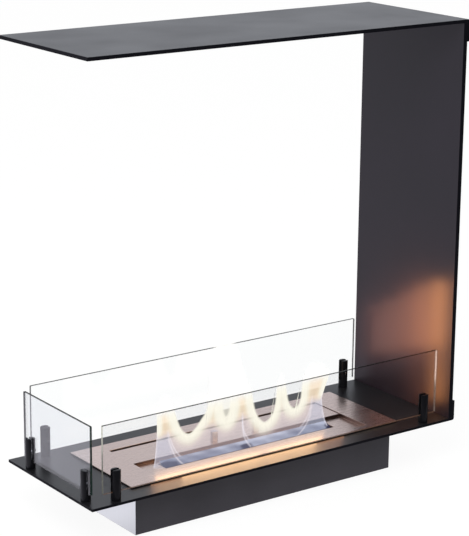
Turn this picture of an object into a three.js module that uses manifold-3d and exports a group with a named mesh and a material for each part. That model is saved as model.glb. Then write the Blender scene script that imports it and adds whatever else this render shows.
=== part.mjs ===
// A built-in bioethanol fireplace, open on three sides: a base plate and a top plate held apart by
// one upright side panel, a burner that drops into a well in the base, and a low glass screen on
// the three open sides. Millimetres, +Z up, +X towards the side panel, -Y towards the front.
// The origin is the middle of the underside of the burner well.

import * as THREE from 'three';
import { mergeVertices } from 'three/addons/utils/BufferGeometryUtils.js';
import Module from 'manifold-3d';

const wasm = await Module();
wasm.setup();

// ---- driving dimensions -------------------------------------------------------------------------

const GAP = 0.3; // between pieces that touch
const THROUGH = 1; // how far a cutting tool runs past the face that it opens

const LEFT = -497; // left end of both plates, measured from the middle of the burner
const RIGHT = 503; // outer face of the flanges
const DEPTH = 350; // front to back
const FRAME_HEIGHT = 946; // underside of the base plate to the top face

const WELL = { length: 708, depth: 236, drop: 106, sheet: 2, lip: 5, lipThick: 1.5 };
const BASE = { thick: 6, flange: 48, bend: 5, holeMargin: 1 };
const TOP = { thick: 8, sheet: 3, flange: 50, bend: 4, lipBend: 1.5 };
const FLANGE_THICK = 6;
const SIDE = { thick: 11, skin: 2 };

const TRAY = { length: 736, depth: 252, sheet: 2, recessDeep: 8.5, recessX: 291, front: -107, back: 87 };
const SLOT = { halfLength: 235, front: -58, back: -25, lip: 14 };
const TANK = { halfLength: 285, front: -101, back: 81, bottom: 14, sheet: 2 };
const FIBRE = { inset: 15, top: 90 };
const DAMPER = { front: -8, depth: 88, height: 6.5, sheet: 2, sideGap: 1 };
const KNOB = { radius: 8.25, height: 23, spread: 58, setBack: 19, edge: 0.8 };
const KNOB_SCREW = { shank: 2, head: 3.5, headHigh: 2.4, reach: 11 };

const GLASS = { thick: 6, height: 152, lift: 18, corner: 2, arris: 0.6 };
const PANES = { left: [-148, 126], front: [-461, 456], back: [-454, 458] }; // from end to end
const POST = { radius: 11, height: 68, edge: 0.8, slot: 7, hole: 14 };
const SET_SCREW = { height: 38, shank: 2, head: 2.8, proud: 1.8 };
const POST_SCREW = { shank: 3, head: 6, cone: 3.2, reach: 13 };
const BOLT = { shank: 3, flats: 10, headHigh: 4.5, reach: 12, spread: 165, underTop: 26, overBase: 34 };

const ROUND = 40; // facets on a round that shows
const SMALL_ROUND = 24; // facets on a screw
const BEND_STEPS = 6; // facets on a fold or a corner

// Where the posts stand, and the way each one's clamping screw faces, as a turn from facing front.
const POSTS = [
  { name: 'left_front', x: -482, y: -125, turn: Math.PI / 2 },
  { name: 'left_back', x: -482, y: 104, turn: Math.PI / 2 },
  { name: 'front_left', x: -428, y: -157, turn: Math.PI },
  { name: 'front_right', x: 421, y: -157, turn: Math.PI },
  { name: 'back_left', x: -418, y: 149, turn: 0 },
  { name: 'back_right', x: 428, y: 149, turn: 0 },
];

// ---- levels and planes worked out from them -----------------------------------------------------

const HALF_DEPTH = DEPTH / 2;
const BASE_UNDER = WELL.drop;
const BASE_TOP = BASE_UNDER + BASE.thick;
const TOP_FACE = BASE_UNDER + FRAME_HEIGHT;
const TOP_UNDER = TOP_FACE - TOP.thick;
const FLANGE_IN = RIGHT - FLANGE_THICK;
const SIDE_OUT = FLANGE_IN - GAP;
const SIDE_IN = SIDE_OUT - SIDE.thick;
const TRAY_UNDER = BASE_TOP + GAP + WELL.lipThick + GAP;
const TRAY_TOP = TRAY_UNDER + TRAY.sheet;
const TRAY_FLOOR = TRAY_TOP - TRAY.recessDeep;
const TANK_TOP = TRAY_FLOOR - TRAY.sheet - GAP;
const DAMPER_TOP = TRAY_FLOOR + GAP + DAMPER.height;
const POST_FOOT = BASE_TOP + GAP;

// ---- materials ----------------------------------------------------------------------------------

function finish(color, roughness, metalness) {
  return new THREE.MeshStandardMaterial({ color, roughness, metalness });
}

const BLACK_COAT = finish(0x2b2b30, 0.35, 0.3);
const GREY_COAT = finish(0x46444a, 0.6, 0.2);
const STAINLESS = finish(0xb9b2ab, 0.3, 0.9);
const BLACK_METAL = finish(0x17181c, 0.4, 0.6);
const BRIGHT_STEEL = finish(0xc8c8cc, 0.3, 1);
const WOOL = finish(0xd8d6d0, 0.95, 0);
const CLEAR_GLASS = new THREE.MeshStandardMaterial({
  color: 0xcfe3dc,
  roughness: 0.05,
  metalness: 0,
  transparent: true,
  opacity: 0.35,
});

// ---- shapes and booleans ------------------------------------------------------------------------

function block([x0, x1], [y0, y1], [z0, z1]) {
  const geometry = new THREE.BoxGeometry(x1 - x0, y1 - y0, z1 - z0);
  return geometry.translate((x0 + x1) / 2, (y0 + y1) / 2, (z0 + z1) / 2);
}

// A folded sheet: its section in X and Z, run along Y.
function folded(section, [y0, y1]) {
  const run = { depth: y1 - y0, bevelEnabled: false, curveSegments: BEND_STEPS };
  return new THREE.ExtrudeGeometry(section, run).rotateX(Math.PI / 2).translate(0, y1, 0);
}

// A round solid on +Z from a half section of [radius, height] points that starts and ends on the axis.
function turned(section, facets) {
  const geometry = new THREE.LatheGeometry(section.map(([r, z]) => new THREE.Vector2(r, z)), facets);
  return geometry.rotateX(Math.PI / 2);
}

// A plain pin on +Z.
function pin(radius, low, high, facets = SMALL_ROUND) {
  return turned([[0, low], [radius, low], [radius, high], [0, high]], facets);
}

// A pin with its upper edge broken by a small chamfer.
function edgedPin(radius, height, edge, facets) {
  const section = [[0, 0], [radius, 0], [radius, height - edge], [radius - edge, height], [0, height]];
  return turned(section, facets);
}

function toSolid(geometry) {
  const bare = geometry.index ? geometry.clone() : geometry;
  bare.deleteAttribute('normal');
  bare.deleteAttribute('uv');
  const merged = mergeVertices(bare, 1e-4);
  const mesh = new wasm.Mesh({
    numProp: 3,
    vertProperties: new Float32Array(merged.attributes.position.array),
    triVerts: new Uint32Array(merged.index.array),
  });
  return new wasm.Manifold(mesh);
}

function toGeometry(solid) {
  const { vertProperties, triVerts } = solid.getMesh();
  const geometry = new THREE.BufferGeometry();
  geometry.setAttribute('position', new THREE.BufferAttribute(vertProperties, 3));
  geometry.setIndex(new THREE.BufferAttribute(triVerts, 1));
  geometry.computeVertexNormals();
  return geometry;
}

function join(geometries, cuts = []) {
  let solid = toSolid(geometries[0]);
  for (const added of geometries.slice(1)) {
    solid = solid.add(toSolid(added));
  }
  for (const cut of cuts) {
    solid = solid.subtract(toSolid(cut));
  }
  return toGeometry(solid);
}

function piece(name, geometry, material) {
  const mesh = new THREE.Mesh(geometry, material);
  mesh.name = name;
  return mesh;
}

function at(object, x, y, z) {
  object.position.set(x, y, z);
  return object;
}

// ---- frame --------------------------------------------------------------------------------------

// Round tools along +X at each flange bolt of one row.
function boltHoles(height, low, high) {
  return [-BOLT.spread, 0, BOLT.spread].map((y) => {
    const hole = pin(BOLT.shank + GAP, low, high);
    return hole.rotateY(Math.PI / 2).translate(0, y, height);
  });
}

const TOP_BOLTS = TOP_FACE - BOLT.underTop;
const BASE_BOLTS = BASE_UNDER + BOLT.overBase;

// The top plate's section: a lip turned down at the left, a bearer over the panel, and a flange.
function topSection() {
  const { sheet, flange, bend, lipBend } = TOP;
  const inner = SIDE_IN - sheet;
  const section = new THREE.Shape();
  section.moveTo(LEFT, TOP_UNDER);
  section.lineTo(LEFT + sheet, TOP_UNDER);
  section.lineTo(LEFT + sheet, TOP_FACE - sheet);
  section.lineTo(inner, TOP_FACE - sheet);
  section.lineTo(inner, TOP_UNDER);
  section.lineTo(FLANGE_IN, TOP_UNDER);
  section.lineTo(FLANGE_IN, TOP_FACE - flange);
  section.lineTo(RIGHT, TOP_FACE - flange);
  section.absarc(RIGHT - bend, TOP_FACE - bend, bend, 0, Math.PI / 2, false);
  section.absarc(LEFT + lipBend, TOP_FACE - lipBend, lipBend, Math.PI / 2, Math.PI, false);
  section.closePath();
  return section;
}

// A folded sheet that laps the panel, with lips turned down along its front and back too.
function topPlate() {
  const { sheet } = TOP;
  const body = folded(topSection(), [-HALF_DEPTH, HALF_DEPTH]);
  const span = [LEFT, SIDE_IN];
  const drop = [TOP_UNDER, TOP_FACE - sheet / 2];
  const frontLip = block(span, [-HALF_DEPTH, -HALF_DEPTH + sheet], drop);
  const backLip = block(span, [HALF_DEPTH - sheet, HALF_DEPTH], drop);
  const holes = boltHoles(TOP_BOLTS, FLANGE_IN - THROUGH, RIGHT + THROUGH);
  return piece('top_plate', join([body, frontLip, backLip], holes), BLACK_COAT);
}

// A flat double-skinned panel, open at its two ends, where the plates close it.
function sidePanel() {
  const low = BASE_TOP + GAP;
  const high = TOP_UNDER - GAP;
  const skin = SIDE.skin;
  const panel = block([SIDE_IN, SIDE_OUT], [-HALF_DEPTH, HALF_DEPTH], [low, high]);
  const core = block(
    [SIDE_IN + skin, SIDE_OUT - skin],
    [-HALF_DEPTH + skin, HALF_DEPTH - skin],
    [low - THROUGH, high + THROUGH],
  );
  const holeFrom = SIDE_OUT - skin - THROUGH;
  const holes = [TOP_BOLTS, BASE_BOLTS].flatMap((z) => boltHoles(z, holeFrom, SIDE_OUT + THROUGH));
  return piece('side_panel', join([panel], [core, ...holes]), BLACK_COAT);
}

// The cone and clearance hole for a countersunk screw driven up from below.
function countersink(x, y) {
  const wide = POST_SCREW.head + GAP;
  const narrow = POST_SCREW.shank + GAP;
  const cone = POST_SCREW.cone;
  const section = [[0, -THROUGH], [wide, -THROUGH], [wide, 0], [narrow, cone], [narrow, 10], [0, 10]];
  return turned(section, SMALL_ROUND).translate(x, y, BASE_UNDER);
}

// The base plate's section: flat, with a flange turned up outside the panel.
function baseSection() {
  const { flange, bend } = BASE;
  const section = new THREE.Shape();
  section.moveTo(LEFT, BASE_UNDER);
  section.lineTo(RIGHT - bend, BASE_UNDER);
  section.absarc(RIGHT - bend, BASE_UNDER + bend, bend, -Math.PI / 2, 0, false);
  section.lineTo(RIGHT, BASE_UNDER + flange);
  section.lineTo(FLANGE_IN, BASE_UNDER + flange);
  section.lineTo(FLANGE_IN, BASE_TOP);
  section.lineTo(LEFT, BASE_TOP);
  section.closePath();
  return section;
}

function basePlate() {
  const body = folded(baseSection(), [-HALF_DEPTH, HALF_DEPTH]);
  const halfX = WELL.length / 2 + BASE.holeMargin;
  const halfY = WELL.depth / 2 + BASE.holeMargin;
  const opening = block([-halfX, halfX], [-halfY, halfY], [BASE_UNDER - THROUGH, BASE_TOP + THROUGH]);
  const sinks = POSTS.map(({ x, y }) => countersink(x, y));
  const holes = boltHoles(BASE_BOLTS, FLANGE_IN - THROUGH, RIGHT + THROUGH);
  return piece('base_plate', join([body], [opening, ...sinks, ...holes]), BLACK_COAT);
}

// An open box that hangs through the base plate by a lip round its mouth.
function burnerWell() {
  const halfX = WELL.length / 2;
  const halfY = WELL.depth / 2;
  const lipLow = BASE_TOP + GAP;
  const lipHigh = lipLow + WELL.lipThick;
  const outer = block([-halfX, halfX], [-halfY, halfY], [0, lipHigh]);
  const lip = block(
    [-halfX - WELL.lip, halfX + WELL.lip],
    [-halfY - WELL.lip, halfY + WELL.lip],
    [lipLow, lipHigh],
  );
  const inner = block(
    [-halfX + WELL.sheet, halfX - WELL.sheet],
    [-halfY + WELL.sheet, halfY - WELL.sheet],
    [WELL.sheet, lipHigh + THROUGH],
  );
  return piece('burner_well', join([outer, lip], [inner]), GREY_COAT);
}

// A hexagon-headed bolt along +X, its head outermost.
function flangeBolt() {
  const corner = BOLT.flats / Math.sqrt(3);
  const edge = 0.6;
  const section = [
    [0, 0], [corner, 0], [corner, BOLT.headHigh - edge], [corner - edge, BOLT.headHigh], [0, BOLT.headHigh],
  ];
  const head = turned(section, 6);
  const shank = pin(BOLT.shank, -BOLT.reach, edge);
  return join([head, shank]).rotateY(Math.PI / 2);
}

function flangeBolts() {
  const rows = [['top', TOP_BOLTS], ['base', BASE_BOLTS]];
  const places = [['front', -BOLT.spread], ['middle', 0], ['back', BOLT.spread]];
  return rows.flatMap(([row, z]) => places.map(([place, y]) => {
    const bolt = piece(`flange_bolt_${row}_${place}`, flangeBolt(), BLACK_METAL);
    return at(bolt, RIGHT + GAP, y, z);
  }));
}

// ---- glass posts --------------------------------------------------------------------------------

// A slotted round post, its slot along X and its clamping screw facing -Y.
function postBody() {
  const far = POST.radius + THROUGH;
  const halfSlot = POST.slot / 2;
  const seat = GLASS.lift - GAP;
  const body = edgedPin(POST.radius, POST.height, POST.edge, ROUND);
  const slot = block([-far, far], [-halfSlot, halfSlot], [seat - GAP, POST.height + THROUGH]);
  const thread = pin(POST_SCREW.shank + GAP, -THROUGH, POST.hole);
  const clampHole = pin(SET_SCREW.shank + GAP, 0, far);
  clampHole.rotateX(Math.PI / 2).translate(0, 0, SET_SCREW.height);
  return join([body], [slot, thread, clampHole]);
}

// A small cheese-headed screw along -Y that stops just short of the glass.
function setScrew() {
  const tip = POST.slot / 2;
  const seat = POST.radius + GAP;
  const edge = 0.4;
  const out = seat + SET_SCREW.proud;
  const section = [
    [0, tip], [SET_SCREW.shank, tip], [SET_SCREW.shank, seat], [SET_SCREW.head, seat],
    [SET_SCREW.head, out - edge], [SET_SCREW.head - edge, out], [0, out],
  ];
  return turned(section, SMALL_ROUND).rotateX(Math.PI / 2);
}

// A countersunk screw driven up through the base plate into the foot of a post.
function postScrew() {
  const { head, cone, shank, reach } = POST_SCREW;
  const foot = -BASE.thick - GAP;
  const section = [[0, foot], [head, foot], [shank, foot + cone], [shank, reach], [0, reach]];
  return turned(section, SMALL_ROUND);
}

function glassPosts() {
  return POSTS.map(({ name, x, y, turn }) => {
    const post = new THREE.Group();
    post.add(piece(`post_${name}`, postBody(), BLACK_METAL));
    post.add(at(piece(`set_screw_${name}`, setScrew(), BRIGHT_STEEL), 0, 0, SET_SCREW.height));
    post.add(piece(`post_screw_${name}`, postScrew(), BRIGHT_STEEL));
    post.rotation.z = turn;
    return at(post, x, y, POST_FOOT);
  });
}

// ---- glass --------------------------------------------------------------------------------------

// A pane standing along X, its middle plane on y 0, with rounded corners and ground arrises.
function paneBody([from, to]) {
  const { thick, height, lift, corner, arris } = GLASS;
  const low = POST_FOOT + lift;
  const high = low + height;
  const quarter = Math.PI / 2;
  const face = new THREE.Shape();
  face.absarc(to - corner, low + corner, corner, -quarter, 0, false);
  face.absarc(to - corner, high - corner, corner, 0, quarter, false);
  face.absarc(from + corner, high - corner, corner, quarter, 2 * quarter, false);
  face.absarc(from + corner, low + corner, corner, 2 * quarter, 3 * quarter, false);
  face.closePath();
  const geometry = new THREE.ExtrudeGeometry(face, {
    depth: thick - 2 * arris,
    curveSegments: BEND_STEPS,
    bevelThickness: arris,
    bevelSize: arris,
    bevelOffset: -arris,
    bevelSegments: 1,
  });
  return join([geometry.rotateX(Math.PI / 2).translate(0, thick / 2 - arris, 0)]);
}

function pane(name, ends) {
  return piece(name, paneBody(ends), CLEAR_GLASS);
}

function glassScreen() {
  const place = Object.fromEntries(POSTS.map(({ name, x, y }) => [name, { x, y }]));
  const left = at(pane('pane_left', PANES.left), place.left_front.x, 0, 0);
  left.rotation.z = Math.PI / 2;
  const front = at(pane('pane_front', PANES.front), 0, place.front_left.y, 0);
  const back = at(pane('pane_back', PANES.back), 0, place.back_left.y, 0);
  return [left, front, back];
}

// ---- burner -------------------------------------------------------------------------------------

// The polished top of the burner, with a sunk track for the damper and the long flame slot in it.
// The slot's edges turn down into the tank.
function burnerTray() {
  const { sheet, recessX, front, back } = TRAY;
  const halfX = TRAY.length / 2;
  const halfY = TRAY.depth / 2;
  const plate = block([-halfX, halfX], [-halfY, halfY], [TRAY_UNDER, TRAY_TOP]);
  const track = block(
    [-recessX - sheet, recessX + sheet],
    [front - sheet, back + sheet],
    [TRAY_FLOOR - sheet, TRAY_TOP],
  );
  const recess = block([-recessX, recessX], [front, back], [TRAY_FLOOR, TRAY_TOP + THROUGH]);
  const throatLow = TRAY_FLOOR - sheet - SLOT.lip;
  const throat = block(
    [-SLOT.halfLength - sheet, SLOT.halfLength + sheet],
    [SLOT.front - sheet, SLOT.back + sheet],
    [throatLow, TRAY_FLOOR],
  );
  const slot = block(
    [-SLOT.halfLength, SLOT.halfLength],
    [SLOT.front, SLOT.back],
    [throatLow - THROUGH, TRAY_FLOOR + THROUGH],
  );
  return piece('burner_tray', join([plate, track, throat], [recess, slot]), STAINLESS);
}

function fuelTank() {
  const { halfLength, front, back, bottom, sheet } = TANK;
  const shell = block([-halfLength, halfLength], [front, back], [bottom, TANK_TOP]);
  const inside = block(
    [-halfLength + sheet, halfLength - sheet],
    [front + sheet, back - sheet],
    [bottom + sheet, TANK_TOP + THROUGH],
  );
  return piece('fuel_tank', join([shell], [inside]), STAINLESS);
}

// The pad of mineral wool that soaks up the fuel.
function fuelWool() {
  const inset = FIBRE.inset;
  const pad = block(
    [-TANK.halfLength + inset, TANK.halfLength - inset],
    [TANK.front + inset, TANK.back - inset],
    [TANK.bottom + TANK.sheet + GAP, FIBRE.top],
  );
  return piece('fuel_wool', pad, WOOL);
}

// A shallow upturned pan that slides over the flame slot.
function damperPlate() {
  const halfX = TRAY.recessX - DAMPER.sideGap;
  const back = DAMPER.front + DAMPER.depth;
  const sheet = DAMPER.sheet;
  const low = TRAY_FLOOR + GAP;
  const pan = block([-halfX, halfX], [DAMPER.front, back], [low, DAMPER_TOP]);
  const hollow = block(
    [-halfX + sheet, halfX - sheet],
    [DAMPER.front + sheet, back - sheet],
    [low - THROUGH, DAMPER_TOP - sheet],
  );
  const holes = [-KNOB.spread, KNOB.spread].map((x) => {
    const hole = pin(KNOB_SCREW.shank + GAP, low, DAMPER_TOP + THROUGH);
    return hole.translate(x, DAMPER.front + KNOB.setBack, 0);
  });
  return piece('damper_plate', join([pan], [hollow, ...holes]), STAINLESS);
}

function knobBody() {
  const body = edgedPin(KNOB.radius, KNOB.height, KNOB.edge, ROUND);
  const thread = pin(KNOB_SCREW.shank + GAP, -THROUGH, KNOB_SCREW.reach + THROUGH);
  return join([body], [thread]);
}

// The screw that holds a knob, its head hidden in the hollow of the damper plate.
function knobScrew() {
  const { shank, head, headHigh, reach } = KNOB_SCREW;
  const seat = -DAMPER.sheet - GAP - GAP;
  const section = [
    [0, seat - headHigh], [head, seat - headHigh], [head, seat], [shank, seat], [shank, reach], [0, reach],
  ];
  return turned(section, SMALL_ROUND);
}

function damperKnobs() {
  const sides = [['left', -KNOB.spread], ['right', KNOB.spread]];
  return sides.map(([side, x]) => {
    const knob = new THREE.Group();
    knob.add(piece(`damper_knob_${side}`, knobBody(), BRIGHT_STEEL));
    knob.add(piece(`knob_screw_${side}`, knobScrew(), BRIGHT_STEEL));
    return at(knob, x, DAMPER.front + KNOB.setBack, DAMPER_TOP + GAP);
  });
}

// ---- the fireplace ------------------------------------------------------------------------------

const fireplace = new THREE.Group();
fireplace.add(topPlate(), sidePanel(), basePlate(), burnerWell(), ...flangeBolts());
fireplace.add(...glassPosts(), ...glassScreen());
fireplace.add(burnerTray(), fuelTank(), fuelWool(), damperPlate(), ...damperKnobs());

export default fireplace;
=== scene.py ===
import math

import bmesh
import bpy
import numpy as np
from mathutils import Matrix, Vector


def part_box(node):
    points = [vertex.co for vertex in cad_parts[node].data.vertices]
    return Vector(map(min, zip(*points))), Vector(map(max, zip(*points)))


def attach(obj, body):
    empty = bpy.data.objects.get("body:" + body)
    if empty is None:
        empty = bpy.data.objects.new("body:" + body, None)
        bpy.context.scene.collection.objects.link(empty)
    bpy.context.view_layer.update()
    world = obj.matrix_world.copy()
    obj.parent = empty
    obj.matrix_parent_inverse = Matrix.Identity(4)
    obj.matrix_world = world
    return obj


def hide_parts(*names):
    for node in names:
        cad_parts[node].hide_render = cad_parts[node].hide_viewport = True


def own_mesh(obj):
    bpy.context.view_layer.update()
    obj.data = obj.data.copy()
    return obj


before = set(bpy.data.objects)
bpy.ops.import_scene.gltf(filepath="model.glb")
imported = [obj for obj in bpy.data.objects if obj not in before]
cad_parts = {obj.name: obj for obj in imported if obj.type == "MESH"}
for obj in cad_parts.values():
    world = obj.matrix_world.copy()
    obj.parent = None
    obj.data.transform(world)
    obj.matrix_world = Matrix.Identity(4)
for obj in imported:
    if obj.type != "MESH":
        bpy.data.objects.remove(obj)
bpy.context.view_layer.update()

MM = 0.001  # the frame is in metres


# ---- node helpers -----------------------------------------------------------------------------

NOISE_SPREAD = (0.3, 0.7)  # nearly all of a noise's values lie between these
COLOUR_MIX = (0, 6, 7, 2)  # a colour Mix node's sockets: factor, both colours and the result


class Nodes:
    """The node tree of a material or a world, built by short calls."""

    def __init__(self, owner, output="OutputMaterial"):
        owner.use_nodes = True
        self.owner = owner
        self.tree = owner.node_tree
        self.tree.nodes.clear()
        self.output = self.add(output)

    def add(self, kind, settings=None, **inputs):
        node = self.tree.nodes.new("ShaderNode" + kind)
        for key, value in (settings or {}).items():
            setattr(node, key, value)
        for key, value in inputs.items():
            self.put(node, key.replace("_", " "), value)
        return node

    def put(self, node, key, value):
        """Links or sets an input, found by its name or by its number."""
        socket = node.inputs[key]
        if isinstance(value, bpy.types.NodeSocket):
            self.tree.links.new(value, socket)
        elif isinstance(value, (tuple, list)) and socket.type == "RGBA":
            socket.default_value = (*value, 1.0)[:4]
        else:
            socket.default_value = value

    def math(self, operation, *values, clamp=False):
        node = self.add("Math", {"operation": operation, "use_clamp": clamp})
        for index, value in enumerate(values):
            self.put(node, index, value)
        return node.outputs[0]

    def place(self, scale=(1.0, 1.0, 1.0)):
        """Points of the part's own frame in metres, scaled."""
        coords = self.add("TexCoord")
        return self.add("Mapping", Vector=coords.outputs["Object"], Scale=scale).outputs[0]

    def part_of(self, point, axis):
        return self.add("SeparateXYZ", Vector=point).outputs[axis]

    def noise(self, scale, stretch=(1.0, 1.0, 1.0), detail=3.0, roughness=0.5):
        place = self.place(stretch)
        node = self.add("TexNoise", Vector=place, Scale=scale, Detail=detail, Roughness=roughness)
        return node.outputs["Fac"]

    def ramp(self, value, source, target, smooth=True):
        """Takes a value from one range to another and stays within it."""
        kind = "SMOOTHSTEP" if smooth else "LINEAR"
        node = self.add("MapRange", {"interpolation_type": kind}, Value=value)
        limits = ("From Min", "From Max", "To Min", "To Max")
        for key, number in zip(limits, (*source, *target), strict=True):
            self.put(node, key, number)
        return node.outputs[0]

    def span(self, noise, low, high):
        return self.ramp(noise, NOISE_SPREAD, (low, high), smooth=False)

    def blend(self, factor, a, b):
        """A colour between two others."""
        node = self.add("Mix", {"data_type": "RGBA"})
        *inputs, result = COLOUR_MIX
        for index, value in zip(inputs, (factor, a, b), strict=True):
            self.put(node, index, value)
        return node.outputs[result]

    def between(self, factor, a, b):
        """A number between two others."""
        return self.add("Mix", Factor=factor, A=a, B=b).outputs[0]

    def join(self, factor, a, b):
        """A shader between two others."""
        node = self.add("MixShader")
        for index, value in enumerate((factor, a, b)):
            self.put(node, index, value)
        return node.outputs[0]

    def bump(self, height, strength, distance):
        return self.add("Bump", Height=height, Strength=strength, Distance=distance).outputs[0]

    def ray(self, kind):
        return self.add("LightPath").outputs[f"Is {kind} Ray"]

    def seen(self):
        """1 for what the camera sees, also through glass."""
        return self.math("MAXIMUM", self.ray("Camera"), self.ray("Transmission"))

    def show(self, shader):
        self.tree.links.new(shader, self.output.inputs["Surface"])
        return self.owner


def material_nodes(name):
    return Nodes(bpy.data.materials.new(name))


def shade(colour, amount):
    return tuple(channel * amount for channel in colour)


# ---- materials --------------------------------------------------------------------------------

ALONG_X, ALONG_Z = 0, 2
WHITE = (1.0, 1.0, 1.0)


def coat(name, colour, roughness, shine, grain=900.0, bump=0.12):
    """Powder coat: orange peel, and slow changes of shade and gloss."""
    n = material_nodes(name)
    slow = n.noise(7.0, detail=2.0)
    peel = n.noise(grain, detail=2.0)
    surface = n.add(
        "BsdfPrincipled",
        Base_Color=n.blend(n.span(slow, 0.0, 1.0), shade(colour, 0.85), shade(colour, 1.15)),
        Roughness=n.span(slow, roughness - 0.03, roughness + 0.03),
        Specular_IOR_Level=shine,
        Normal=n.bump(peel, bump, 0.0004),
    )
    return n.show(surface.outputs[0])


def steel(name, colour, roughness, along):
    """Brushed steel, with its grain along one axis."""
    n = material_nodes(name)
    stretch = [2200.0, 2200.0, 2200.0]
    stretch[along] = 14.0
    grain = n.noise(1.0, tuple(stretch), roughness=0.6)
    slow = n.noise(5.0, detail=2.0)
    tone = n.blend(n.span(grain, 0.0, 1.0), shade(colour, 0.95), shade(colour, 1.05))
    surface = n.add(
        "BsdfPrincipled",
        Base_Color=n.blend(n.span(slow, 0.0, 0.2), tone, shade(colour, 0.85)),
        Metallic=1.0,
        Roughness=n.span(grain, roughness - 0.06, roughness + 0.06),
        Normal=n.bump(grain, 0.03, 0.0003),
    )
    return n.show(surface.outputs[0])


def clear_glass(name, tint, index):
    """A thin pane's face: it mirrors by Fresnel and tints what shows through it."""
    n = material_nodes(name)
    back = n.add("NewGeometry").outputs["Backfacing"]
    ratio = n.math("MULTIPLY_ADD", back, 1 / index - index, index)
    mirror = n.add("Fresnel", IOR=ratio).outputs[0]
    smear = n.span(n.noise(14.0, detail=2.0), 0.0, 0.03)
    clear = n.add("BsdfTransparent", Color=tint).outputs[0]
    gloss = n.add("BsdfGlossy", Color=WHITE, Roughness=smear).outputs[0]
    return n.show(n.join(mirror, clear, gloss))


def edge(name, colour, shine=0.2, glow=0.0, lit_from=(0.0, 0.01)):
    """The edge of a sheet: dark or green, or glowing with painted firelight that grows above some
    height, in metres.
    """
    n = material_nodes(name)
    cloud = n.noise(220.0)
    tone = n.blend(n.span(cloud, 0.0, 1.0), shade(colour, 0.8), shade(colour, 1.2))
    surface = n.add(
        "BsdfPrincipled",
        Base_Color=tone,
        Roughness=n.span(cloud, 0.2, 0.35),
        Specular_IOR_Level=shine,
    )
    if glow:
        height = n.part_of(n.place(), "Z")
        n.put(surface, "Emission Color", tone)
        n.put(surface, "Emission Strength", n.ramp(height, lit_from, (0.06 * glow, glow)))
    return n.show(surface.outputs[0])


def wool_fibre(name, colour):
    """Mineral wool, its fibres along X."""
    n = material_nodes(name)
    fibre = n.noise(1.0, (160.0, 900.0, 900.0), detail=6.0, roughness=0.7)
    clump = n.noise(60.0, detail=4.0)
    surface = n.add(
        "BsdfPrincipled",
        Base_Color=n.blend(n.span(clump, 0.0, 1.0), shade(colour, 0.7), colour),
        Roughness=n.span(fibre, 0.85, 1.0),
        Specular_IOR_Level=0.1,
        Normal=n.bump(fibre, 0.8, 0.002),
    )
    return n.show(surface.outputs[0])


FLAME_POWER = 2.7  # radiance of the hot part, for light and reflections
FLAME_SEEN = 1.12  # and to the camera, which looks through the front pane
HEAT = 0.6  # how much of a ray the hot part stops, on each face of the flame
HOT_FROM = (0.112, 0.165)  # heights in metres between which the flame grows hot
HOT_TO = (0.19, 0.26)  # and those between which it fades again
LOW_GLOW = (1.0, 0.82, 0.62)
HIGH_GLOW = (1.0, 0.74, 0.50)


def flame_light(name):
    """Hot gas. The camera sees the tint and the cover that the mesh carries, other rays its heat."""
    n = material_nodes(name)
    looks = n.add("Attribute", {"attribute_name": "tint"}).outputs
    seen = n.seen()
    wisp = n.span(n.noise(1.0, (120.0, 40.0, 14.0)), 0.92, 1.06)
    height = n.part_of(n.place(), "Z")
    rise = n.ramp(height, HOT_FROM, (0.02, HEAT))
    heat = n.math("MULTIPLY", rise, n.ramp(height, HOT_TO, (1.0, 0.1)))
    warm = n.blend(n.ramp(height, HOT_FROM, (0.0, 1.0)), LOW_GLOW, HIGH_GLOW)
    colour = n.blend(seen, warm, looks["Color"])
    power = n.between(seen, FLAME_POWER, FLAME_SEEN)
    light = n.add("Emission", Color=colour, Strength=power).outputs[0]
    clear = n.add("BsdfTransparent", Color=WHITE).outputs[0]
    share = n.between(seen, heat, looks["Alpha"])
    return n.show(n.join(n.math("MULTIPLY", share, wisp, clamp=True), clear, light))


BLACK_COAT = coat("black_coat", (0.012, 0.012, 0.014), 0.34, 0.40)
PANEL_COAT = coat("panel_coat", (0.014, 0.011, 0.017), 0.37, 0.30)
# The black coat made darker and duller on the plates' upright faces and the panel's narrow faces:
# painted shade.
SHADED_EDGE = coat("shaded_edge", (0.006, 0.006, 0.009), 0.55, 0.06)
GREY_COAT = coat("grey_coat", (0.051, 0.048, 0.056), 0.48, 0.40, bump=0.3)
BLACK_METAL = coat("black_metal", (0.007, 0.007, 0.009), 0.32, 0.20, grain=1600.0, bump=0.05)

# Pale steel for the well's two ends; its long sides are dark grey coat.
PALE_STEEL = steel("pale_steel", (0.79, 0.81, 0.79), 0.34, ALONG_Z)
# Steel with a warm rose cast: its own colour plus painted firelight mirrored in it.
FIRE_TINTED_STAINLESS = steel("stainless", (0.78, 0.62, 0.555), 0.27, ALONG_X)
# Darker than the stainless, for the upright walls of the tray's track and slot and the damper's edges:
# painted shade.
SHADED_WALL = steel("shaded_wall", (0.24, 0.165, 0.145), 0.36, ALONG_X)
TURNED_STEEL = steel("turned_steel", (0.60, 0.56, 0.60), 0.42, ALONG_Z)
BRIGHT_STEEL = steel("bright_steel", (0.72, 0.72, 0.74), 0.22, ALONG_Z)
# Its grey, well below the fibre's white, is painted shade inside the tank.
WOOL = wool_fibre("wool", (0.55, 0.54, 0.52))

LEFT_GLASS = clear_glass("glass_left", (0.935, 0.945, 0.95), 1.6)
FRONT_GLASS = clear_glass("glass_front", (0.955, 0.957, 0.96), 1.3)
BACK_GLASS = clear_glass("glass_back", (0.995, 1.0, 1.0), 1.2)

DARK_EDGE = edge("dark_glass_edge", (0.010, 0.010, 0.009), 0.05)
GREY_EDGE = edge("grey_glass_edge", (0.09, 0.09, 0.09))
GREEN_EDGE = edge("green_glass_edge", (0.012, 0.026, 0.022))
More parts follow.
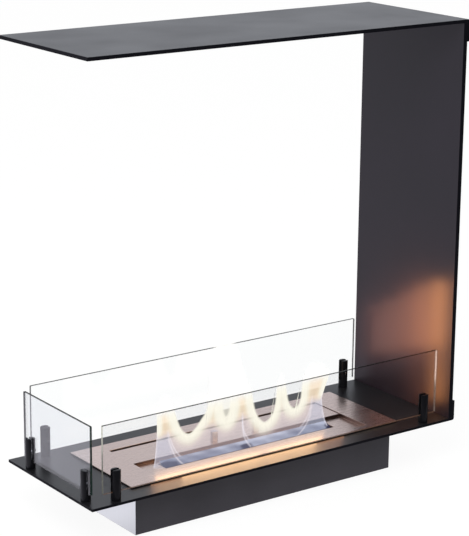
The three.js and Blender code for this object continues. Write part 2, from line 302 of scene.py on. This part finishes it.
# The front pane's left end, right end and foot glow: painted firelight.
PALE_EDGE = edge("pale_glass_edge", (0.16, 0.16, 0.14), glow=2.2, lit_from=(0.20, 0.26))
LIT_EDGE = edge("lit_glass_edge", (0.22, 0.17, 0.15), glow=2.4, lit_from=(0.185, 0.225))
FIRELIT_FOOT = edge("firelit_glass_foot", (0.10, 0.055, 0.035), glow=0.3)
# The tray's front rim glows: painted firelight, the gold of the flame mirrored in it.
GLOWING_RIM = edge("tray_rim_painted_glow", (0.60, 0.42, 0.26), 0.3, glow=0.8)
FLAME = flame_light("flame")


# ---- pieces from the frame's solids -----------------------------------------------------------

STEEP = 0.7  # a face looks along an axis when its normal has more than this of it
PANE_FACE, PANE_TOP = 0.9, 0.5  # the same for a pane, where the ground corners belong to the edges
RIM_REACH = 2 * MM  # how near a box's side a face is that belongs to its rim
WELL_ENDS_FROM = 0.35  # the well's end walls lie further out than this, in metres
JOIN_REACH = 5e-6  # corners nearer than this, in metres, are one
FLAT_ANGLE = math.radians(0.5)
SHARP_ANGLE = math.radians(30.0)


def new_piece(name, bm, materials, body, smooth=None):
    """A piece that rides on a body. smooth is the angle in degrees up to which it is shaded round."""
    mesh = bpy.data.meshes.new(name)
    bm.to_mesh(mesh)
    bm.free()
    for material in materials:
        mesh.materials.append(material)
    if smooth is not None:
        mesh.polygons.foreach_set("use_smooth", [True] * len(mesh.polygons))
        mesh.set_sharp_from_angle(angle=math.radians(smooth))
    piece = bpy.data.objects.new(name, mesh)
    bpy.context.scene.collection.objects.link(piece)
    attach(piece, body)
    return piece


def clean_copy(node):
    """The node's solid with its flat faces whole again."""
    bm = bmesh.new()
    bm.from_mesh(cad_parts[node].data)
    bmesh.ops.remove_doubles(bm, verts=bm.verts, dist=JOIN_REACH)
    bmesh.ops.dissolve_limit(bm, angle_limit=FLAT_ANGLE, verts=bm.verts, edges=bm.edges)
    bm.normal_update()
    return bm


def ease_edges(bm, width, segments):
    sharp = [e for e in bm.edges if e.is_manifold and e.calc_face_angle() > SHARP_ANGLE]
    bmesh.ops.bevel(
        bm, geom=sharp, offset=width, segments=segments, profile=0.6, affect="EDGES", clamp_overlap=True
    )
    bm.normal_update()


PIECES = {}  # the pieces that stand for a node, by the node's name


def dress(node, body, materials, pick=None, bevel=0.4, segments=2, smooth=None):
    """A piece with eased edges, bevel mm wide. pick gives the number of a face's material."""
    bm = clean_copy(node)
    if pick:
        for face in bm.faces:
            face.material_index = pick(face.normal, face.calc_center_median())
    ease_edges(bm, bevel * MM, segments)
    piece = new_piece(node + "_piece", bm, materials, body, smooth)
    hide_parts(node)
    PIECES[node] = piece


def upright_sides(normal, _centre):
    """1 on a level plate's upright faces."""
    return 0 if abs(normal.z) > STEEP else 1


def panel_sides(normal, _centre):
    """1 on the upright panel's front, back, top and foot."""
    return 0 if abs(normal.x) > STEEP else 1


def well_sides(normal, centre):
    """1 on the two ends of the well."""
    return 1 if abs(normal.x) > STEEP and abs(centre.x) > WELL_ENDS_FROM else 0


def tray_sides(normal, centre):
    """1 on the tray's front rim, which glows with painted firelight, 2 on the walls of its track and
    slot, a steel darkened with painted shade.
    """
    low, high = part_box("burner_tray")
    if abs(normal.z) > STEEP:
        return 0
    if centre.y - low[1] < RIM_REACH:
        return 1
    inset = min(centre.x - low[0], high[0] - centre.x, high[1] - centre.y)
    return 2 if inset > RIM_REACH else 0


def pane_sides(across):
    """A picker for a pane that is thin along X (0) or Y (1).

    It gives 0 on the faces, 1 on the top, 2 on the foot, 3 on the left or front end, 4 on the other.
    """

    def pick(normal, _centre):
        if abs(normal[across]) > PANE_FACE:
            return 0
        if abs(normal.z) > PANE_TOP:
            return 1 if normal.z > 0 else 2
        return 3 if normal.x + normal.y < 0 else 4

    return pick


PANES = {
    "left": (0, [LEFT_GLASS, DARK_EDGE, DARK_EDGE, GREEN_EDGE, DARK_EDGE]),
    "front": (1, [FRONT_GLASS, DARK_EDGE, FIRELIT_FOOT, PALE_EDGE, LIT_EDGE]),
    "back": (1, [BACK_GLASS, DARK_EDGE, BACK_GLASS, DARK_EDGE, GREY_EDGE]),
}
POSTS = ("left_front", "left_back", "front_left", "front_right", "back_left", "back_right")


def dress_frame():
    dress("top_plate", "frame", [BLACK_COAT, SHADED_EDGE], upright_sides)
    dress("side_panel", "frame", [PANEL_COAT, SHADED_EDGE], panel_sides)
    dress("base_plate", "frame", [BLACK_COAT, SHADED_EDGE], upright_sides)
    dress("burner_well", "frame", [GREY_COAT, PALE_STEEL], well_sides)
    for post in POSTS:
        dress(f"post_{post}", "frame", [BLACK_METAL], bevel=0.3, smooth=30)


def dress_burner():
    dress("burner_tray", "burner", [FIRE_TINTED_STAINLESS, GLOWING_RIM, SHADED_WALL], tray_sides)
    dress("fuel_tank", "burner", [FIRE_TINTED_STAINLESS])
    dress("fuel_wool", "burner", [WOOL], bevel=2.0, segments=3)
    dress("damper_plate", "damper", [FIRE_TINTED_STAINLESS, SHADED_WALL], upright_sides, bevel=0.6)
    for side in ("left", "right"):
        dress(f"damper_knob_{side}", "damper", [TURNED_STEEL], bevel=0.25, smooth=30)


def dress_panes():
    for pane, (across, materials) in PANES.items():
        dress(f"pane_{pane}", f"{pane}_glass", materials, pane_sides(across), bevel=0.2)


def paint_fasteners():
    """Bolts and screws keep the frame's own solids."""
    for name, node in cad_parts.items():
        if name.startswith("flange_bolt"):
            node.material_slots[0].material = BLACK_METAL
        elif "screw" in name:
            node.material_slots[0].material = BRIGHT_STEEL


# ---- flame ------------------------------------------------------------------------------------
# Its points, sizes and heights are in mm up to the mesh, and its tints are linear colours.

SLOT_MIDDLE = -41.5  # y of the slot's centre line
SLOT_HALF = 13.5  # how far a face swells off that line
FLAME_FOOT = 101.0
CREST_GUESS, CREST_PASSES = 230.0, 12
SIGHT_SLOPE = 0.725  # x per y along the photo's line of sight, by which the two faces are offset

# The flame's outline over the slot, as (x, z): two small tongues, a tall one, and two more.
CREST = [
    (-248, 252), (-238, 270), (-224, 276), (-210, 262), (-202, 240), (-196, 221), (-190, 203),
    (-182, 186), (-173, 175), (-162, 171), (-151, 177), (-134, 194), (-122, 208), (-115, 228),
    (-112, 300), (-105, 366), (-88, 392), (-66, 402), (-46, 394), (-30, 362), (-12, 300), (10, 240),
    (16, 206), (23, 183), (34, 164), (47, 155), (58, 161), (67, 174), (72, 192), (75, 220),
    (80, 254), (91, 272), (102, 254), (108, 226), (112, 205), (116, 189), (123, 178), (131, 174),
    (139, 178), (144, 189), (147, 210), (151, 244), (162, 266), (184, 276), (208, 268), (228, 250),
]
# The flame's ends, as (z, x). The last point of each only carries the end up straight.
LEFT_EDGE = [(100, -259), (124, -254), (160, -250), (189, -248), (218, -248), (400, -247)]
RIGHT_EDGE = [(100, 233), (124, 220), (153, 213), (178, 210), (201, 218), (231, 230), (400, 232)]
# A thin place in the tall tongue, and three bright seams, as (x, z).
DIMPLE = [(-75, 212), (-71, 198), (-65, 187), (-58, 184), (-53, 195), (-49, 212)]
DIMPLE_MIDDLE, DIMPLE_HALF = -62, 12.0  # its x and half its width
DIMPLE_FOOT, DIMPLE_RISE = 184, 27.0  # where it starts, and how far up it widens
LEFT_SEAM = [(-219, 190), (-217, 173), (-211, 155), (-200, 131), (-183, 111), (-168, 101)]
MIDDLE_SEAM = [(-17, 215), (-17, 183), (-16, 155), (-11, 134), (-2, 119), (7, 108)]
RIGHT_SEAM = [(183, 225), (182, 207), (179, 170), (170, 138), (153, 117), (137, 106), (117, 102)]

BAND_START, BAND_WIDTH = 3.0, 26.0  # the bright band inside the crest
END_BAND_WIDTH = 17.0
END_LINE_WIDTH = 3.0
SEAM_WIDTH = 2.8

VIOLET = (0.78, 0.78, 1.0)  # at the foot
ROSE = (1.0, 0.87, 0.90)  # in the thin middle
SKIRT_BLUE = (0.76, 0.80, 1.0)  # outside the outer seams
AMBER = (1.0, 0.80, 0.58)
FRINGE = (1.0, 0.90, 0.70)
CORE = (1.0, 0.965, 0.83)
LILAC = (0.98, 0.93, 1.0)  # of the bright lines
TOP_WHITE = (1.0, 0.99, 0.96)


def smooth_line(points, count):
    """Points along a rounded line through the ones given: cubic pieces that share their slopes."""
    p = np.array(points, float)
    d = np.concatenate([[0.0], np.cumsum(np.hypot(*np.diff(p, axis=0).T))])
    slope = np.gradient(p, d, axis=0)
    t = np.linspace(0.0, d[-1], count)
    k = np.clip(np.searchsorted(d, t, side="right") - 1, 0, len(d) - 2)
    h = d[k + 1] - d[k]
    s = ((t - d[k]) / h)[:, None]
    h = h[:, None]
    a, b = p[k], p[k + 1]
    return (
        (1 + 2 * s) * (1 - s) ** 2 * a
        + s * (1 - s) ** 2 * h * slope[k]
        + s**2 * (3 - 2 * s) * b
        + s**2 * (s - 1) * h * slope[k + 1]
    )


def end_line(points):
    return smooth_line([(x, z) for z, x in points[:-1]], 80)


CREST_LINE = smooth_line(CREST, 700)
CREST_X, CREST_Z = CREST_LINE[np.argsort(CREST_LINE[:, 0])].T
END_LINES = np.concatenate([end_line(LEFT_EDGE), end_line(RIGHT_EDGE)])
DIMPLE_LINE = smooth_line(DIMPLE, 80)
SEAM_LINES = [smooth_line(seam, 80) for seam in (LEFT_SEAM, MIDDLE_SEAM, RIGHT_SEAM)]


def nearest(points, line):
    gap = points[:, None, :] - line[None, :, :]
    return np.sqrt((gap**2).sum(2)).min(1)


def ease(value, low, high):
    """0 up to low, 1 from high, and a soft step between them."""
    t = np.clip((value - low) / (high - low), 0.0, 1.0)
    return t * t * (3 - 2 * t)


def toward(a, b, share):
    return a + (np.array(b) - a) * share[:, None]


def seam_x(line, z):
    """x of a seam at its point nearest in height."""
    return line[np.abs(z[:, None] - line[None, :, 1]).argmin(1), 0]


def flame_looks(x, z):
    """Tint and cover of the whole flame at points of its middle plane."""
    points = np.stack([x, z], 1)
    depth = nearest(points, CREST_LINE)
    end = nearest(points, END_LINES)
    soft_edge = 6.0 + 20.0 * ease(z, 234, 262)

    inside = np.minimum(depth, nearest(points, DIMPLE_LINE))
    band = np.exp(-((np.maximum(inside - BAND_START, 0.0) / BAND_WIDTH) ** 3))
    band = np.maximum(band, np.exp(-((end / END_BAND_WIDTH) ** 3)) * ease(z, 158, 198))
    line = 0.9 * np.exp(-((end / END_LINE_WIDTH) ** 2))
    for seam in SEAM_LINES:
        seam_light = np.exp(-((nearest(points, seam) / SEAM_WIDTH) ** 2))
        line = np.maximum(line, seam_light * (1 - ease(z, 185, 212)))
    left = seam_x(SEAM_LINES[0], z)
    right = seam_x(SEAM_LINES[-1], z)
    skirt = np.maximum(ease(left - x, -2, 6), ease(x - right, -2, 6)) * (1 - ease(z, 168, 188))

    veil = 0.18 + 0.09 * ease(z, 110, 150) + 0.10 * skirt
    veil = veil + (0.78 - veil) * ease(z, 168, 192)
    cover = veil + (0.985 - veil) * band
    widening = np.sqrt(np.clip((z - DIMPLE_FOOT) / DIMPLE_RISE, 0.0, 1.0))
    dimple = DIMPLE_HALF * widening - np.abs(x - DIMPLE_MIDDLE)
    cover *= 1 - 0.4 * ease(dimple, -1.0, 5.0) * (1 - ease(z, 222, 245))
    cover = np.maximum(cover, 0.8 * line * ease(z, 100, 112))
    cover *= ease(depth / soft_edge, 0.0, 1.0)
    cover *= 1 - ease(z - np.interp(x, CREST_X, CREST_Z), 0.5, 3.0)

    tint = np.tile(VIOLET, (len(x), 1))
    tint = toward(tint, ROSE, ease(z, 104, 140))
    tint = toward(tint, SKIRT_BLUE, skirt)
    tint = toward(tint, AMBER, ease(z, 170, 190))
    tint = toward(tint, FRINGE, band)
    tint = toward(tint, CORE, ease(band, 0.30, 0.95))
    tint = toward(tint, LILAC, line * (1 - ease(z, 170, 200)))
    tint = toward(tint, TOP_WHITE, ease(z, 216, 240))
    return tint, cover


def grid_shares(columns, rows):
    """Shares from 0 to 1 along and up a grid of points."""
    u, v = np.meshgrid(np.linspace(0, 1, columns), np.linspace(0, 1, rows), indexing="ij")
    return u.ravel(), v.ravel()


def grid_mesh(x, y, z, rows):
    """A sheet through a grid of points, given column by column."""
    bm = bmesh.new()
    verts = [bm.verts.new((a * MM, b * MM, c * MM)) for a, b, c in zip(x, y, z, strict=True)]
    for i in range(len(verts) // rows - 1):
        for j in range(rows - 1):
            k = i * rows + j
            bm.faces.new((verts[k], verts[k + rows], verts[k + rows + 1], verts[k + 1]))
    return bm


def across_flame(u, z):
    """x at a share u of the way from the flame's left end to its right one."""
    left = np.interp(z, *zip(*LEFT_EDGE, strict=True))
    right = np.interp(z, *zip(*RIGHT_EDGE, strict=True))
    return left + u * (right - left)


def flame_sheet(side, columns=440, rows=70):
    """One face of the flame: a curtain that meets its twin along the crest and the ends."""
    u, v = grid_shares(columns, rows)
    crest = np.full_like(u, CREST_GUESS)
    for _ in range(CREST_PASSES):  # closer each time to where a column meets the crest
        crest = np.interp(across_flame(u, crest), CREST_X, CREST_Z)
    z = FLAME_FOOT + v * (crest - FLAME_FOOT)
    x = across_flame(u, z)
    tint, cover = flame_looks(x, z)
    depth = nearest(np.stack([x, z], 1), np.concatenate([CREST_LINE, END_LINES]))
    swell = SLOT_HALF * (1 - np.exp(-depth / 16.0)) * (1 - 0.35 * ease(z, 110, 300))
    wave = 2.5 * np.sin(x / 31.0) + 1.5 * np.sin(x / 13.0 + z / 40.0)
    y = SLOT_MIDDLE + side * swell + wave * ease(z, 104, 170)
    x = x + SIGHT_SLOPE * (y - SLOT_MIDDLE)
    cover_of_one = 1 - np.sqrt(1 - np.clip(cover, 0.0, 0.995))
    return grid_mesh(x, y, z, rows), tint, cover_of_one


ROOT_HALF = 233.0  # half the root's length
ROOT_FRONT, ROOT_BACK = (-48.0, 104.0), (-27.0, 114.3)  # its (y, z) at the front and the back
ROOT_COVER = 0.96
ROOT_DIM, ROOT_BRIGHT = (0.07, 0.08, 0.15), (0.52, 0.55, 0.68)
# the gaps' tint: painted shade standing in for the dark slot behind them
ROOT_GAP_SHADE = (0.04, 0.04, 0.085)
DARK_SHARE = 0.46  # how far back a gap reaches at the least, as a share of the root's depth
# How bright the root burns along the slot: x, and a share.
ROOT_GLOW = [
    (-235, 0.2), (-185, 0.4), (-150, 0.7), (-110, 0.5), (-70, 0.8), (-30, 0.65), (10, 1.0),
    (100, 0.9), (140, 0.5), (200, 0.55), (233, 0.75),
]
# Gaps at the front of the slot, tinted dark as painted shade of the slot below: centre, width, and how
# much further back each reaches.
ROOT_GAPS = [(-224, 22, 0.6), (-6, 14, 0.25), (236, 10, 0.8)]


def flame_root(columns=240, rows=24):
    """The blue root of the flame, a sloping bed that fills the slot."""
    u, v = grid_shares(columns, rows)
    x = (2 * u - 1) * ROOT_HALF
    y, z = (front + v * (back - front) for front, back in zip(ROOT_FRONT, ROOT_BACK, strict=True))
    gap = np.zeros_like(x)
    for centre, width, reach in ROOT_GAPS:
        rise = DARK_SHARE + 0.5 * reach * np.exp(-(((x - centre) / width) ** 2))
        dark = ease(rise - v, -0.12, 0.12) * ease(rise, DARK_SHARE, DARK_SHARE + 0.08)
        gap = np.maximum(gap, dark)
    bright = np.interp(x, *zip(*ROOT_GLOW, strict=True)) + 0.14 * np.sin(x / 9.0 + 4 * v)
    bright = np.clip(bright * (0.7 + 0.3 * ease(v, 0.5, 0.8)), 0.0, 1.0)
    tint = toward(np.tile(ROOT_DIM, (len(x), 1)), ROOT_BRIGHT, bright)
    tint = toward(tint, ROOT_GAP_SHADE, gap)
    return grid_mesh(x, y, z, rows), tint, np.full_like(x, ROOT_COVER)


def light_piece(name, sheet):
    """A piece of the flame."""
    bm, tint, cover = sheet
    piece = new_piece(name, bm, [FLAME], "burner", smooth=180)
    layer = piece.data.color_attributes.new(name="tint", type="FLOAT_COLOR", domain="POINT")
    layer.data.foreach_set("color", np.column_stack([tint, cover]).astype(np.float32).ravel())
    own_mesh(piece)


# ---- stage, light and camera ------------------------------------------------------------------

FLOOR_HALF = 30.0
FLOOR_DROP = 0.0005  # keeps the floor's face off the part's underside
FLOOR_WHITE = 0.92  # its own light, which only the camera sees
FLOOR_SHADOW = (0.12, 0.12, 0.12)  # the grey under that light, which takes the shadow
# What gloss mirrors: the floor and the sky are dark in front of the part and bright behind it.
FLOOR_FADE, FLOOR_SHINE = (-0.5, 0.0), (0.04, 0.95)
SKY_FADE, SKY_SHINE = (-0.25, 0.2), (0.05, 0.80)
FLOOR_TONE, SKY_TONE = (0.97, 0.95, 1.07), (0.93, 0.96, 1.04)
SKY_LIGHT = 0.6


def make_floor():
    """White to the camera but for the part's shadow, and plain pale to the light."""
    n = material_nodes("floor")
    shine = n.ramp(n.part_of(n.place(), "Y"), FLOOR_FADE, FLOOR_SHINE, smooth=False)
    plain = n.add("BsdfDiffuse", Color=(0.8, 0.8, 0.8)).outputs[0]
    mirrored = n.add("Emission", Color=FLOOR_TONE, Strength=shine).outputs[0]
    pale = n.add("AddShader")
    n.put(pale, 0, n.add("BsdfDiffuse", Color=FLOOR_SHADOW).outputs[0])
    n.put(pale, 1, n.add("Emission", Color=WHITE, Strength=FLOOR_WHITE).outputs[0])
    unseen = n.join(n.ray("Glossy"), plain, mirrored)
    material = n.show(n.join(n.seen(), unseen, pale.outputs[0]))
    bm = bmesh.new()
    bmesh.ops.create_grid(bm, x_segments=1, y_segments=1, size=FLOOR_HALF)
    mesh = bpy.data.meshes.new("floor")
    bm.to_mesh(mesh)
    bm.free()
    mesh.materials.append(material)
    floor = bpy.data.objects.new("floor", mesh)
    floor.location.z = -FLOOR_DROP
    bpy.context.scene.collection.objects.link(floor)


def make_world():
    """A white backdrop, a soft sky for light, and a studio that is dark to the front for gloss."""
    n = Nodes(bpy.data.worlds.new("studio"), "OutputWorld")
    mirrored = n.ray("Glossy")
    towards = n.part_of(n.add("TexCoord").outputs["Generated"], "Y")
    shine = n.ramp(towards, SKY_FADE, SKY_SHINE, smooth=False)
    power = n.between(n.seen(), n.between(mirrored, SKY_LIGHT, shine), 1.0)
    tone = n.blend(mirrored, WHITE, SKY_TONE)
    bpy.context.scene.world = n.show(n.add("Background", Color=tone, Strength=power).outputs[0])


def make_lamp(name, at, aim, size, watts, colour=WHITE, lit=()):
    """An area lamp. One that lights only the nodes in lit is mirrored in them too."""
    data = bpy.data.lights.new(name, "AREA")
    data.shape = "RECTANGLE"
    data.size, data.size_y = size
    data.energy = watts
    data.color = colour
    lamp = bpy.data.objects.new(name, data)
    lamp.location = at
    lamp.rotation_euler = (Vector(aim) - Vector(at)).to_track_quat("-Z", "Y").to_euler()
    lamp.visible_camera = False
    lamp.visible_glossy = bool(lit)
    bpy.context.scene.collection.objects.link(lamp)
    if lit:
        group = bpy.data.collections.new(name + "_lights")
        for node in lit:
            group.objects.link(PIECES[node])
        lamp.light_linking.receiver_collection = group


def make_glow(name, at, towards, size, radiance, colour, lit):
    """Firelight: a lamp of a given radiance that stands for a part of the flame or of its glow."""
    aim = Vector(at) + Vector(towards)
    watts = radiance * math.pi * size[0] * size[1]
    make_lamp(name, at, aim, size, watts, colour, lit)


# The fire's glow on the side panel: strips of warm light beside it, higher and hotter to the front.
# Each has y, foot and head in metres, radiance and colour.
PANEL_GLOW = [
    (0.156, 0.172, 0.298, 2.8, (1.0, 0.42, 0.28)),
    (0.102, 0.190, 0.328, 3.3, (1.0, 0.41, 0.25)),
    (0.044, 0.212, 0.360, 4.0, (1.0, 0.39, 0.21)),
    (-0.014, 0.234, 0.392, 7.0, (1.0, 0.38, 0.16)),
    (-0.072, 0.115, 0.245, 9.5, (1.0, 0.38, 0.13)),
    (-0.072, 0.250, 0.418, 14.5, (1.0, 0.38, 0.13)),
]
PANEL_GLOW_X = 0.43
PANEL_GLOW_WIDTH = 0.058
BY_PANEL = ("side_panel", "post_back_right", "post_front_right")

# The gold light along the base plate's front: the flame mirrored, and low down the tray's bright rim.
# Each has a name, the x, y and z of its middle, and its height.
BASE_GLOW = [
    ("flame", (-0.010, -0.062, 0.142), 0.05),
    ("rim", (-0.056, -0.127, 0.1143), 0.0042),
]
# The light has two tones, with name, colour, width and radiance. Copper reaches past the gold.
BASE_TONES = [
    ("gold", (1.0, 0.64, 0.33), 0.37, 4.6),
    ("copper", (1.0, 0.46, 0.24), 0.53, 1.9),
]
TONE_GAP = 0.0005  # the gold lamps stand this far in front of the copper ones


def make_firelight():
    for y, foot, head, radiance, colour in PANEL_GLOW:
        at = (PANEL_GLOW_X, y, (foot + head) / 2)
        size = (PANEL_GLOW_WIDTH, head - foot)
        make_glow(f"glow_{y:.3f}_{foot:.3f}", at, (1, 0, 0), size, radiance, colour, BY_PANEL)
    for source, (x, y, z), height in BASE_GLOW:
        for order, (tone, colour, width, radiance) in enumerate(reversed(BASE_TONES)):
            at = (x, y - order * TONE_GAP, z)
            size = (width, height)
            make_glow(f"{tone}_{source}", at, (0, -1, 0), size, radiance, colour, ("base_plate",))


CAMERA_AT = (-2.4488, -3.3570, 1.6491)
CAMERA_TURN = (-35.962, 15.284, 0.535)  # azimuth, elevation and roll, degrees
PHOTO_HEIGHT = 536  # pixels
FOCAL_LENGTH = 1935.0  # in the photo's pixels
SENSOR = 36  # mm, along the picture's longer side


def make_camera():
    azimuth, elevation, roll = map(math.radians, CAMERA_TURN)
    back = Vector((
        math.sin(azimuth) * math.cos(elevation),
        -math.cos(azimuth) * math.cos(elevation),
        math.sin(elevation),
    ))
    right = Vector((0, 0, 1)).cross(back).normalized()
    up = back.cross(right)
    right, up = (
        math.cos(roll) * right + math.sin(roll) * up,
        -math.sin(roll) * right + math.cos(roll) * up,
    )
    turn = Matrix((right, up, back)).transposed().to_4x4()
    data = bpy.data.cameras.new("camera")
    data.lens = FOCAL_LENGTH / PHOTO_HEIGHT * SENSOR
    data.sensor_width = SENSOR
    data.clip_start, data.clip_end = 0.05, 200
    camera = bpy.data.objects.new("camera", data)
    camera.matrix_world = Matrix.Translation(CAMERA_AT) @ turn
    bpy.context.scene.collection.objects.link(camera)
    bpy.context.scene.camera = camera


# ---- the scene --------------------------------------------------------------------------------

dress_frame()
dress_burner()
dress_panes()
paint_fasteners()
light_piece("flame_root", flame_root())
light_piece("flame_front", flame_sheet(-1))
light_piece("flame_back", flame_sheet(1))

make_floor()
make_world()
make_lamp("key", (-2.2, -2.0, 3.4), (0, 0, 0.5), (2.4, 2.4), 90)
make_firelight()
make_camera()
bpy.context.scene.view_settings.view_transform = "Standard"
